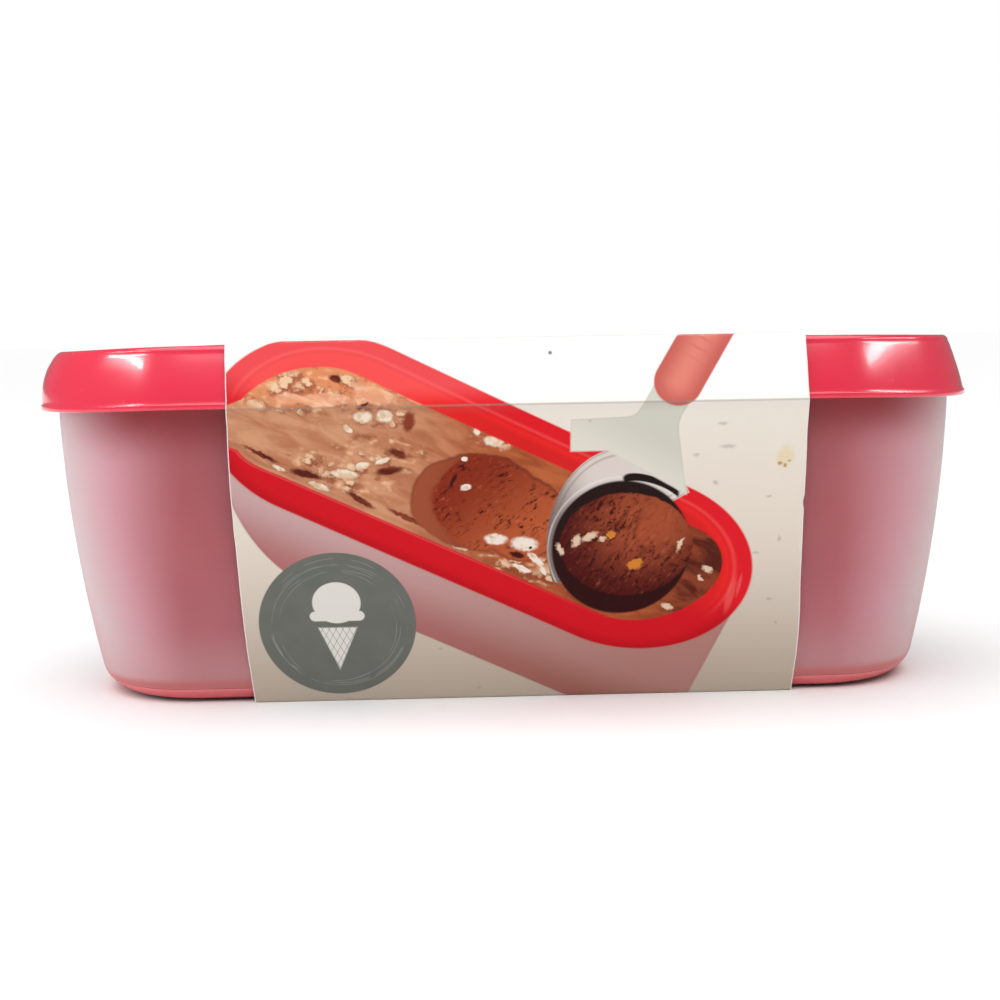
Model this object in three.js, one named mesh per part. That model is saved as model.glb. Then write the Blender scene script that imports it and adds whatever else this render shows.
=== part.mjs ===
// Long ice cream storage tub in its paper sleeve.
// A frosted outer shell stands round a red inner tub, a red lid is pressed over the rim,
// a red non-slip base closes the shell below, and a folded paper band holds it all shut.
// Millimetres, +X along the tub, +Z up, origin on the floor under the middle of the tub.

import * as THREE from "three";

// Driving dimensions
const LID_LENGTH = 268;
const LID_WIDTH = 100;
const PAPER = 0.5;
const GAP = 0.3;
const TUB_FOOT_Z = PAPER + GAP;
const SKIRT_BOTTOM_Z = TUB_FOOT_Z + 82.7;
const LID_TOP_Z = TUB_FOOT_Z + 99.1;
const LID_TOP_INSET = 5.6;
const LID_SIDE_CURVE = 1.25;
const LID_WALL = 1.7;
const LID_EDGE_ROUND = 1.5;
const LID_BEAD_HEIGHT = 1.5;
const LID_BEAD_STEP = 0.35;
const LID_PANEL_DROP = 0.9;
const LID_RIM_WIDTH = 2.6;
const LID_END_DROOP = 1.0;
const LID_TO_COLLAR = 0.35;

// Outer wall of the tub: the ends and the long sides have their own draft and bulge
const WALL_HEIGHT = 82.7;
const END_TOP_RADIUS = 45.3;
const END_FOOT_RADIUS = 35.5;
const END_BULGE = 0.896;
const END_FOOT_ROUND = 6.4;
const SIDE_TOP_RADIUS = 45.2;
const SIDE_FOOT_RADIUS = 28.9;
const SIDE_BULGE = 0.2;
const SIDE_FOOT_ROUND = 3.1;
const FOOT_ROUND_HEIGHT = 6.8;
const FOOT_ROUND_POWER = 1.9;
const SHELL_WALL = 1.8;
const SHELL_TOP = 84.3;

// Red non-slip base
const PAD_HEIGHT = 3.5;
const PAD_RING_WIDTH = 5;
const PAD_RECESS = 0.8;

// Red inner tub, seen through the frosted wall
const CORE_FOOT = 14;
const CORE_ROUND = 11;
const CORE_TOP_GAP = 2.3;
const CORE_GAP_GROWTH = 0.075;
const COLLAR_BOTTOM_Z = TUB_FOOT_Z + SHELL_TOP + GAP;

// Paper sleeve: half widths of its folds, front and back alike
const SLEEVE_LENGTH = 151.6;
const SLEEVE_SHIFT = 2.6;
const SLEEVE_LEAN = -0.0122;
const SLEEVE_FOOT_Y = 29.2;
const SLEEVE_CREASE_Y = 51;
const SLEEVE_CREASE_Z = TUB_FOOT_Z + 82.7;
const SLEEVE_TOP_Y = 46.1;
const SLEEVE_TOP_Z = LID_TOP_Z + GAP + PAPER;
const FOLD_RADIUS = 0.9;
const FOLD_STEPS = 3;
const FLAP_LENGTH = 14;
const FLAP_STEP = 0.4;

// Fineness of the outlines
const ARC_STEPS = 28;
const SIDE_STEPS = 3;

const halfStraight = (LID_LENGTH - LID_WIDTH) / 2;
const lidRadius = LID_WIDTH / 2;

// One outline with straight sides and round ends, counted from the +X tip.
// reach is the distance from the centre to the tip, radius is half the width.
function outline(reach, radius) {
  const straight = reach - radius;
  const points = [];
  const quarter = ARC_STEPS / 2;
  const arc = (centreX, from, count) => {
    for (let i = 0; i < count; i += 1) {
      const angle = from + (Math.PI * i) / ARC_STEPS;
      points.push([centreX + radius * Math.cos(angle), radius * Math.sin(angle)]);
    }
  };
  const side = (fromX, toX, y) => {
    for (let i = 0; i < SIDE_STEPS; i += 1) {
      points.push([fromX + ((toX - fromX) * i) / SIDE_STEPS, y]);
    }
  };
  arc(straight, 0, quarter);
  side(straight, -straight, radius);
  arc(-straight, Math.PI / 2, ARC_STEPS);
  side(-straight, straight, -radius);
  arc(straight, Math.PI * 1.5, quarter);
  return points;
}

// Closed body through a stack of outlines. The first and the last one are capped flat.
function stack(levels) {
  const rings = levels.map((level) => {
    const sink = level.sink || (() => 0);
    return outline(level.reach, level.radius).map(([x, y]) => [x, y, level.z - sink(x)]);
  });
  const count = rings[0].length;
  const positions = rings.flat(2);
  const index = [];
  for (let r = 0; r + 1 < rings.length; r += 1) {
    for (let i = 0; i < count; i += 1) {
      const next = (i + 1) % count;
      const a = r * count + i;
      const b = r * count + next;
      const c = (r + 1) * count + next;
      const d = (r + 1) * count + i;
      index.push(a, b, c, a, c, d);
    }
  }
  const cap = (start, flip) => {
    for (let i = 0; i < count / 2; i += 1) {
      const a = start + i;
      const b = start + i + 1;
      const c = start + ((count - i - 1) % count);
      const d = start + ((count - i) % count);
      const faces = [];
      if (i > 0) faces.push([a, b, d]);
      if (i + 1 < count / 2) faces.push([b, c, d]);
      for (const [p, q, s] of faces) {
        if (flip) index.push(p, s, q);
        else index.push(p, q, s);
      }
    }
  };
  cap(0, true);
  cap((rings.length - 1) * count, false);
  const geometry = new THREE.BufferGeometry();
  geometry.setAttribute("position", new THREE.Float32BufferAttribute(positions, 3));
  geometry.setIndex(index);
  geometry.computeVertexNormals();
  return geometry;
}

// Height above the tub's foot, drawn in by the rounding at the foot
function footRound(height) {
  const depth = Math.min(Math.max((FOOT_ROUND_HEIGHT - height) / FOOT_ROUND_HEIGHT, 0), 1);
  return 1 - Math.pow(1 - Math.pow(depth, FOOT_ROUND_POWER), 1 / FOOT_ROUND_POWER);
}

function draft(foot, top, bulge, height) {
  const t = height / WALL_HEIGHT;
  return foot + (top - foot) * (t + bulge * t * (1 - t));
}

// Outline of the outer wall at a height, moved in by inset. roundHeight is the height
// at which the rounding is read, so that a floor above it can follow the same curve.
function wallLevel(height, inset = 0, roundHeight = height) {
  const round = footRound(roundHeight);
  const end = draft(END_FOOT_RADIUS, END_TOP_RADIUS, END_BULGE, height) - END_FOOT_ROUND * round;
  const side = draft(SIDE_FOOT_RADIUS, SIDE_TOP_RADIUS, SIDE_BULGE, height) - SIDE_FOOT_ROUND * round;
  return {
    reach: halfStraight + end - inset,
    radius: side - inset,
    z: TUB_FOOT_Z + height,
  };
}

function capLevel(radius, z, sink) {
  return { reach: halfStraight + radius, radius, z, sink };
}

// Radius of the lid's side, widest at the skirt
function lidSide(z) {
  const t = Math.min(Math.max((z - SKIRT_BOTTOM_Z) / (LID_TOP_Z - SKIRT_BOTTOM_Z), 0), 1);
  return lidRadius - LID_TOP_INSET * Math.pow(t, LID_SIDE_CURVE);
}

function makeShell() {
  const outer = [3.8, 4.5, 5.4, 6.8, 10, 15, 21, 28, 36, 45, 54, 63, 71, 78, SHELL_TOP];
  const inner = [SHELL_TOP, 72, 60, 48, 36, 26, 17, 11, 8.6, 7.0, 6.2, 5.6];
  const levels = outer.map((height) => wallLevel(height));
  for (const height of inner) {
    levels.push(wallLevel(height, SHELL_WALL, height - SHELL_WALL));
  }
  return stack(levels);
}

function makeBase() {
  const foot = wallLevel(0);
  const underside = (inset, z) => ({ reach: foot.reach - inset, radius: foot.radius - inset, z });
  const levels = [
    underside(PAD_RING_WIDTH + PAD_RECESS, TUB_FOOT_Z + PAD_RECESS),
    underside(PAD_RING_WIDTH, TUB_FOOT_Z),
  ];
  for (const height of [0, 0.2, 0.6, 1.2, 2.0, 2.8, PAD_HEIGHT]) {
    levels.push(wallLevel(height));
  }
  return stack(levels);
}

function makeInnerTub() {
  const levels = [];
  const gap = (height) => CORE_TOP_GAP + (SHELL_TOP - height) * CORE_GAP_GROWTH;
  for (const height of [14, 14.3, 15, 16.4, 18.5, 21.5, 25, 32, 40, 49, 58, 67, 76, SHELL_TOP + GAP]) {
    const depth = Math.min(Math.max((CORE_FOOT + CORE_ROUND - height) / CORE_ROUND, 0), 1);
    const round = CORE_ROUND * (1 - Math.sqrt(1 - depth * depth));
    levels.push(wallLevel(height, gap(height) + round, FOOT_ROUND_HEIGHT));
  }
  const collarWall = LID_WALL + LID_TO_COLLAR;
  const collarTop = LID_TOP_Z - LID_PANEL_DROP - LID_WALL - LID_TO_COLLAR;
  levels.push(capLevel(lidSide(COLLAR_BOTTOM_Z) - collarWall - 0.8, COLLAR_BOTTOM_Z));
  for (const z of [COLLAR_BOTTOM_Z + 0.6, COLLAR_BOTTOM_Z + 4, COLLAR_BOTTOM_Z + 7.5, collarTop - 1]) {
    levels.push(capLevel(lidSide(z) - collarWall, z));
  }
  levels.push(capLevel(lidSide(collarTop) - collarWall - 0.8, collarTop));
  return stack(levels);
}

function makeLid() {
  const height = LID_TOP_Z - SKIRT_BOTTOM_Z;
  const endOf = (x) => THREE.MathUtils.smoothstep(Math.abs(x), halfStraight, halfStraight + lidRadius);
  const sinkAt = (z) => {
    const share = 1 - (z - SKIRT_BOTTOM_Z) / height;
    return (x) => LID_END_DROOP * share * endOf(x);
  };
  const side = (radius, z) => capLevel(radius, z, sinkAt(z));
  const beadTop = SKIRT_BOTTOM_Z + LID_BEAD_HEIGHT;
  const levels = [];

  // Underside of the panel, then down inside the skirt
  const ceiling = LID_TOP_Z - LID_PANEL_DROP - LID_WALL;
  for (const z of [ceiling, ceiling - 3.5, ceiling - 7.5, SKIRT_BOTTOM_Z + 1]) {
    levels.push(side(lidSide(z) - LID_WALL, z));
  }
  levels.push(side(lidSide(SKIRT_BOTTOM_Z) - LID_WALL + 0.2, SKIRT_BOTTOM_Z));

  // Rounded bead along the skirt's lower edge
  levels.push(side(lidRadius - 0.5, SKIRT_BOTTOM_Z));
  levels.push(side(lidRadius, SKIRT_BOTTOM_Z + 0.45));
  levels.push(side(lidRadius, beadTop - 0.35));
  levels.push(side(lidSide(beadTop) - LID_BEAD_STEP, beadTop + 0.25));

  // Convex side up to the rounded top edge
  for (const share of [0.24, 0.38, 0.52, 0.66, 0.79]) {
    const z = SKIRT_BOTTOM_Z + height * share;
    const step = LID_BEAD_STEP * (1 - share);
    levels.push(side(lidSide(z) - step, z));
  }
  const shoulderZ = LID_TOP_Z - LID_EDGE_ROUND;
  const shoulder = lidSide(shoulderZ);
  for (const turn of [0.12, 0.34, 0.56, 0.78, 1]) {
    const angle = (Math.PI / 2) * turn;
    const radius = shoulder - LID_EDGE_ROUND * (1 - Math.cos(angle));
    levels.push(side(radius, shoulderZ + LID_EDGE_ROUND * Math.sin(angle)));
  }

  // Flat rim and the shallow panel inside it
  const rimInner = shoulder - LID_EDGE_ROUND - LID_RIM_WIDTH;
  levels.push(capLevel(rimInner, LID_TOP_Z));
  levels.push(capLevel(rimInner - 0.7, LID_TOP_Z - 0.25 * LID_PANEL_DROP));
  levels.push(capLevel(rimInner - 1.4, LID_TOP_Z - 0.8 * LID_PANEL_DROP));
  levels.push(capLevel(rimInner - 2.1, LID_TOP_Z - LID_PANEL_DROP));
  return stack(levels);
}

// Corner points of the sleeve's section, moved in by inset, with a small arc at each fold
function foldedSection(corners, inset) {
  const count = corners.length;
  const points = [];
  for (let i = 0; i < count; i += 1) {
    const before = new THREE.Vector2(...corners[(i + count - 1) % count]);
    const here = new THREE.Vector2(...corners[i]);
    const after = new THREE.Vector2(...corners[(i + 1) % count]);
    const into = here.clone().sub(before).normalize();
    const out = after.clone().sub(here).normalize();
    const turn = Math.atan2(into.cross(out), into.dot(out));
    const setback = FOLD_RADIUS * Math.tan(turn / 2);
    const start = here.clone().addScaledVector(into, -setback);
    const centre = start.clone().add(new THREE.Vector2(-into.y, into.x).multiplyScalar(FOLD_RADIUS));
    for (let s = 0; s <= FOLD_STEPS; s += 1) {
      const angle = Math.atan2(-into.x, into.y) + (turn * s) / FOLD_STEPS;
      const radius = FOLD_RADIUS - inset;
      points.push([centre.x + radius * Math.cos(angle), centre.y + radius * Math.sin(angle)]);
    }
  }
  return points;
}

// Folded band, with the glued flap as a second layer below the crease at the back
function sleeveSection() {
  const corners = [
    [-SLEEVE_FOOT_Y, 0],
    [SLEEVE_FOOT_Y, 0],
    [SLEEVE_CREASE_Y, SLEEVE_CREASE_Z],
    [SLEEVE_TOP_Y, SLEEVE_TOP_Z],
    [-SLEEVE_TOP_Y, SLEEVE_TOP_Z],
    [-SLEEVE_CREASE_Y, SLEEVE_CREASE_Z],
  ];
  const outer = foldedSection(corners, 0);
  const inner = foldedSection(corners, PAPER);
  const arcPoints = FOLD_STEPS + 1;
  const creaseStart = 2 * arcPoints;
  const panel = new THREE.Vector2(...corners[1]).sub(new THREE.Vector2(...corners[2])).normalize();
  const outward = new THREE.Vector2(-panel.y, panel.x);
  const seam = new THREE.Vector2(...outer[creaseStart]).addScaledVector(panel, FLAP_LENGTH);
  const flapEdge = seam.clone().addScaledVector(outward, FLAP_STEP);
  const section = outer.slice(0, creaseStart);
  section.push([seam.x, seam.y], [flapEdge.x, flapEdge.y], ...outer.slice(creaseStart));
  return { section, hole: inner };
}

function placedX(z, side) {
  return SLEEVE_SHIFT + SLEEVE_LEAN * (z - 50) + (side * SLEEVE_LENGTH) / 2;
}

function makeSleeve() {
  const { section, hole } = sleeveSection();
  const contour = section.map(([y, z]) => new THREE.Vector2(y, z));
  const inside = hole.map(([y, z]) => new THREE.Vector2(y, z));
  const faces = THREE.ShapeUtils.triangulateShape(contour, [inside]);
  const all = contour.concat(inside);
  const positions = [];
  for (const end of [-1, 1]) {
    for (const point of all) positions.push(placedX(point.y, end), point.x, point.y);
  }
  const index = [];
  const shift = all.length;
  for (const [a, b, c] of faces) {
    index.push(a, c, b);
    index.push(a + shift, b + shift, c + shift);
  }
  const walls = (start, count, outwards) => {
    for (let i = 0; i < count; i += 1) {
      const a = start + i;
      const b = start + ((i + 1) % count);
      if (outwards) index.push(a, b, b + shift, a, b + shift, a + shift);
      else index.push(a, b + shift, b, a, a + shift, b + shift);
    }
  };
  walls(0, contour.length, true);
  walls(contour.length, inside.length, false);
  const geometry = new THREE.BufferGeometry();
  geometry.setAttribute("position", new THREE.Float32BufferAttribute(positions, 3));
  geometry.setIndex(index);
  geometry.computeVertexNormals();
  return geometry;
}

const lidRed = new THREE.MeshStandardMaterial({ color: 0xe6304c, roughness: 0.22, metalness: 0 });
const tubRed = new THREE.MeshStandardMaterial({ color: 0xc02038, roughness: 0.4, metalness: 0 });
const frosted = new THREE.MeshStandardMaterial({
  color: 0xe6d6da,
  roughness: 0.55,
  metalness: 0,
  transparent: true,
  opacity: 0.6,
});
const baseRed = new THREE.MeshStandardMaterial({ color: 0xc9545a, roughness: 0.6, metalness: 0 });
const paper = new THREE.MeshStandardMaterial({ color: 0xe9e1d4, roughness: 0.55, metalness: 0 });

function piece(name, geometry, material) {
  const mesh = new THREE.Mesh(geometry, material);
  mesh.name = name;
  return mesh;
}

const tub = new THREE.Group();
tub.add(piece("base_pad", makeBase(), baseRed));
tub.add(piece("outer_shell", makeShell(), frosted));
tub.add(piece("inner_tub", makeInnerTub(), tubRed));
tub.add(piece("lid", makeLid(), lidRed));
tub.add(piece("sleeve", makeSleeve(), paper));

export default tub;
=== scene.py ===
# Long ice cream storage tub in its paper sleeve: fine shapes, finishes, light and camera.
# Lengths are named in millimetres and become metres where a mesh is made.
# Materials measure the object in metres, and the sleeve's print in millimetres.

import math

import bpy
from mathutils import Matrix, Quaternion, Vector, noise


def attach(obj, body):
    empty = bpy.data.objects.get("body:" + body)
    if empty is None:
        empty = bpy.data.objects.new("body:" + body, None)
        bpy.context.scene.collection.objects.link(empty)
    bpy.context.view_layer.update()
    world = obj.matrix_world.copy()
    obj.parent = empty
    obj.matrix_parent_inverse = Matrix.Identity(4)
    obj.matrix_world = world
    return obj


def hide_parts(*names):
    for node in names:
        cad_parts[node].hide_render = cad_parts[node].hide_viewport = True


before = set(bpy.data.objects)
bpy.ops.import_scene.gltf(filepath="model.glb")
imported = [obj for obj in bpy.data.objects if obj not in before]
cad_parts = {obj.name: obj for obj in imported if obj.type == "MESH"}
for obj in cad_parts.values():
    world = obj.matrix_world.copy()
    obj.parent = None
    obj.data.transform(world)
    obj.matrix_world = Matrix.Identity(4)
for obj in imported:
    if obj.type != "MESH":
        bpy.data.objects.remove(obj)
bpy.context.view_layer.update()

MM = 0.001

# Sizes shared with the solids
LID_LENGTH = 268.0
LID_WIDTH = 100.0
PAPER = 0.5
GAP = 0.3
FOOT_Z = PAPER + GAP
SKIRT_Z = FOOT_Z + 82.7
LID_TOP = FOOT_Z + 99.1
LID_INSET = 5.6
LID_CURVE = 1.25
LID_WALL = 1.7
EDGE_ROUND = 1.5
BEAD_HEIGHT = 1.5
BEAD_STEP = 0.1
PANEL_DROP = 0.9
PANEL_SLOPE = 2.1
RIM_WIDTH = 2.6
END_DROOP = 1.0
LID_TO_COLLAR = 0.35
WALL_HEIGHT = 82.7
END_WALL = {"top": 45.3, "foot": 35.5, "bulge": 0.896, "round": 6.4}
SIDE_WALL = {"top": 45.2, "foot": 28.9, "bulge": 0.2, "round": 3.1}
FOOT_ROUND = 6.8
ROUND_POWER = 1.9
SHELL_WALL = 1.8
SHELL_TOP = 84.3
PAD_HEIGHT = 3.5
CORE_FOOT = 14.0
CORE_ROUND = 11.0
CORE_GAP = 2.3
CORE_GAP_GROWTH = 0.075
COLLAR_Z = FOOT_Z + SHELL_TOP + GAP
HALF_STRAIGHT = (LID_LENGTH - LID_WIDTH) / 2
LID_RADIUS = LID_WIDTH / 2

# Roundings under and over the bead along the lid's lower edge
BEAD_ROUND = 0.5
BEAD_BEVEL = 0.3

# The lid's ends, which the solid keeps alike: the left one swells where its side leans in
# by more than SWELL_START, and the tops of both sag
LEFT_SWELL = 1.35
SWELL_START = 0.25
LEFT_SAG = 1.2
RIGHT_SAG = 0.6

# Straight left at each tip of the lid's rail, and the distance within which its points are merged
TIP_FLAT = 0.05
WELD = 0.01

# Recess inside the ring under the foot, as (distance in from the edge, height)
FOOT_RECESS = ((5.8, 0.8), (5.6, 0.75), (5.05, 0.08), (4.9, 0.0))

# Sleeve folds as (half width, height), and its place along the tub
SLEEVE_LENGTH = 151.6
SLEEVE_SHIFT = 2.6
SLEEVE_LEAN = -0.0122
SLEEVE_FOOT = Vector((29.2, 0.0))
SLEEVE_CREASE = Vector((51.0, SKIRT_Z))
SLEEVE_TOP = Vector((46.1, LID_TOP + GAP + PAPER))
FOLD_RADIUS = 0.9
FOLD_STEPS = 6
ROW_STEP = 2.2
FLAP_LENGTH = 14.0
FLAP_STEP = 0.4
BARE_EDGE = 0.25

# Print rows of the folds above and below the crease, and of the last row on the front
TOP_FOLD_ROW = -17.9
FOOT_FOLD_ROW = 86.3
FRONT_ROWS = 86

# Camera of the photograph, with its turns in radians
CAMERA_PLACE = Vector((-11.4, -400.0, 101.02))
CAMERA_PITCH = 0.1208
CAMERA_ROLL = 0.0173
CAMERA_YAW = 0.0235
CAMERA_LENS = 48.518

# Point at which every softbox is aimed
LAMP_AIM = Vector((0.0, 0.0, 50.0))


def clamp(value, low=0.0, high=1.0):
    return min(max(value, low), high)


def smooth(value, low, high):
    t = clamp((value - low) / (high - low))
    return t * t * (3 - 2 * t)


# Meshes

def placed_piece(name, mesh, sharp):
    """Shades a mesh smooth between its sharp edges and puts it in the scene."""
    mesh.polygons.foreach_set("use_smooth", [True] * len(mesh.polygons))
    mesh.set_sharp_from_angle(angle=math.radians(sharp))
    mesh.update()
    piece = bpy.data.objects.new(name, mesh)
    bpy.context.scene.collection.objects.link(piece)
    return piece


def new_piece(name, vertices, faces, materials, slots=None, sharp=30):
    """Piece from vertices in millimetres, with a material slot number for each face."""
    mesh = bpy.data.meshes.new(name)
    mesh.from_pydata([Vector(v) * MM for v in vertices], [], faces)
    for material in materials:
        mesh.materials.append(material)
    if slots:
        mesh.polygons.foreach_set("material_index", slots)
    mesh.validate()
    return placed_piece(name, mesh, sharp)


def outline(reach, radius, arc_steps=88, side_steps=28):
    """Round-ended outline, from the +X tip round to it again."""
    straight = reach - radius
    points = []
    quarter = arc_steps // 2

    def arc(centre, start, count):
        for i in range(count):
            angle = start + math.pi * i / arc_steps
            points.append((centre + radius * math.cos(angle), radius * math.sin(angle)))

    def side(start, end, y):
        for i in range(side_steps):
            points.append((start + (end - start) * i / side_steps, y))

    arc(straight, 0, quarter)
    side(straight, -straight, radius)
    arc(-straight, math.pi / 2, arc_steps)
    side(-straight, straight, -radius)
    arc(straight, math.pi * 1.5, quarter)
    return points


def stacked(name, levels, material, sharp=30):
    """Closed body through outlines given as (reach, radius, height)."""
    rings = [outline(reach, radius) for reach, radius, _ in levels]
    count = len(rings[0])
    vertices = []
    for ring, level in zip(rings, levels):
        vertices.extend((x, y, level[2]) for x, y in ring)
    faces = []
    for r in range(len(rings) - 1):
        for i in range(count):
            j = (i + 1) % count
            faces.append((r * count + i, r * count + j, (r + 1) * count + j, (r + 1) * count + i))
    last = (len(rings) - 1) * count
    for start, flip in ((0, True), (last, False)):
        for i in range(count // 2):
            corners = [start + i, start + i + 1]
            corners += [start + (count - i - 1) % count, start + (count - i) % count]
            face = list(dict.fromkeys(corners))
            if len(face) > 2:
                faces.append(tuple(reversed(face)) if flip else tuple(face))
    return new_piece(name, vertices, faces, [material], sharp=sharp)


def foot_round(height):
    """Share of the foot's rounding that is taken off the wall at a height."""
    depth = clamp((FOOT_ROUND - height) / FOOT_ROUND)
    return 1 - (1 - depth ** ROUND_POWER) ** (1 / ROUND_POWER)


def wall_level(height, inset=0.0, round_height=None):
    """Outline of the tub's wall at a height above its foot, moved in by inset."""
    drawn = foot_round(height if round_height is None else round_height)
    t = height / WALL_HEIGHT
    radii = []
    for wall in (END_WALL, SIDE_WALL):
        rise = t + wall["bulge"] * t * (1 - t)
        radii.append(wall["foot"] + (wall["top"] - wall["foot"]) * rise - wall["round"] * drawn)
    end, side = radii
    return (HALF_STRAIGHT + end - inset, side - inset, FOOT_Z + height)


def spread(start, end, count):
    return [start + (end - start) * i / (count - 1) for i in range(count)]


def round_heights(start, count):
    """Heights up the rounded foot, close together where it turns fastest."""
    share = start / FOOT_ROUND
    turns = [math.pi / 2 * i / count for i in range(count)]
    return [FOOT_ROUND * (share + (1 - share) * (1 - math.cos(turn))) for turn in turns]


def lid_side(z):
    """Outer radius of the lid's side at a height."""
    t = clamp((z - SKIRT_Z) / (LID_TOP - SKIRT_Z))
    return LID_RADIUS - LID_INSET * t ** LID_CURVE


def shell_piece(material):
    """Frosted cup: up the outer wall, over the rounded rim and down the inner wall."""
    low = 3.55
    rim = 0.6
    levels = [wall_level(h) for h in round_heights(low, 14)]
    levels += [wall_level(h) for h in spread(FOOT_ROUND, SHELL_TOP - rim, 44)]
    for step in range(1, 7):
        turn = math.pi * step / 6
        inset = SHELL_WALL / 2 - (SHELL_WALL / 2) * math.cos(turn)
        levels.append(wall_level(SHELL_TOP - rim + rim * math.sin(turn), inset))
    for h in reversed(spread(FOOT_ROUND + SHELL_WALL, SHELL_TOP - rim - 1, 36)):
        levels.append(wall_level(h, SHELL_WALL, h - SHELL_WALL))
    for h in reversed(round_heights(low, 12)):
        levels.append(wall_level(h + SHELL_WALL, SHELL_WALL, h))
    return stacked("shell_wall", levels, material, sharp=35)


def base_piece(material):
    """Foot pad: its recess, the ring it stands on and its rounded outer edge."""
    reach, radius, z = wall_level(0)
    levels = [(reach - inset, radius - inset, z + rise) for inset, rise in FOOT_RECESS]
    heights = (0.0, 0.05, 0.15, 0.3, 0.5, 0.8, 1.2, 1.7, 2.3, 2.9, PAD_HEIGHT - 0.15)
    levels += [wall_level(height) for height in heights]
    reach, radius, z = wall_level(PAD_HEIGHT)
    levels.append((reach - 0.25, radius - 0.25, z))
    return stacked("foot_pad", levels, material)


def core_piece(material):
    """Red cup inside the shell, with its collar under the lid."""
    levels = []
    heights = [CORE_FOOT + CORE_ROUND * (1 - math.cos(math.pi / 2 * i / 12)) for i in range(13)]
    heights += spread(CORE_FOOT + CORE_ROUND + 2, SHELL_TOP + GAP, 30)
    for height in heights:
        depth = clamp((CORE_FOOT + CORE_ROUND - height) / CORE_ROUND)
        drawn = CORE_ROUND * (1 - math.sqrt(1 - depth * depth))
        gap = CORE_GAP + (SHELL_TOP - height) * CORE_GAP_GROWTH
        levels.append(wall_level(height, gap + drawn, FOOT_ROUND))
    wall = LID_WALL + LID_TO_COLLAR
    top = LID_TOP - PANEL_DROP - LID_WALL - LID_TO_COLLAR
    collar = ((COLLAR_Z, 0.8), (COLLAR_Z + 0.25, 0.25), (COLLAR_Z + 0.8, 0), (COLLAR_Z + 4, 0),
              (COLLAR_Z + 7.5, 0), (top - 1, 0), (top - 0.3, 0.2), (top, 0.8))
    for z, inset in collar:
        radius = lid_side(z) - wall - inset
        levels.append((HALF_STRAIGHT + radius, radius, z))
    return stacked("inner_cup", levels, material)


def lid_section():
    """Half section of the lid as (radius, height), from inside the panel round to its top."""
    height = LID_TOP - SKIRT_Z
    bead_top = SKIRT_Z + BEAD_HEIGHT
    ceiling = LID_TOP - PANEL_DROP - LID_WALL
    inner = 30.0
    section = [(inner, ceiling)]
    for z in reversed(spread(SKIRT_Z + 0.8, ceiling, 10)):
        section.append((lid_side(z) - LID_WALL, z))
    section.append((lid_side(SKIRT_Z) - LID_WALL + 0.2, SKIRT_Z))
    for i in range(7):
        angle = math.pi / 2 * i / 6
        section.append((LID_RADIUS - BEAD_ROUND + BEAD_ROUND * math.sin(angle),
                        SKIRT_Z + BEAD_ROUND - BEAD_ROUND * math.cos(angle)))
    for i in range(6):
        angle = math.pi / 2 * i / 5
        section.append((LID_RADIUS - BEAD_STEP * (1 - math.cos(angle)) - 0.15 * i / 5,
                        bead_top - BEAD_BEVEL + BEAD_BEVEL * math.sin(angle)))
    shoulder_z = LID_TOP - EDGE_ROUND
    for z in spread(bead_top + 0.5, shoulder_z - 0.3, 26):
        share = (z - SKIRT_Z) / height
        section.append((lid_side(z) - BEAD_STEP * (1 - share), z))
    shoulder = lid_side(shoulder_z)
    for i in range(11):
        angle = math.pi / 2 * (0.08 + 0.92 * i / 10)
        section.append((shoulder - EDGE_ROUND * (1 - math.cos(angle)),
                        shoulder_z + EDGE_ROUND * math.sin(angle)))
    rim_inner = shoulder - EDGE_ROUND - RIM_WIDTH
    for i in range(13):
        share = i / 12
        section.append((rim_inner - PANEL_SLOPE * share, LID_TOP - PANEL_DROP * smooth(share, 0, 1)))
    section.append((inner, LID_TOP - PANEL_DROP))
    return section


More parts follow.
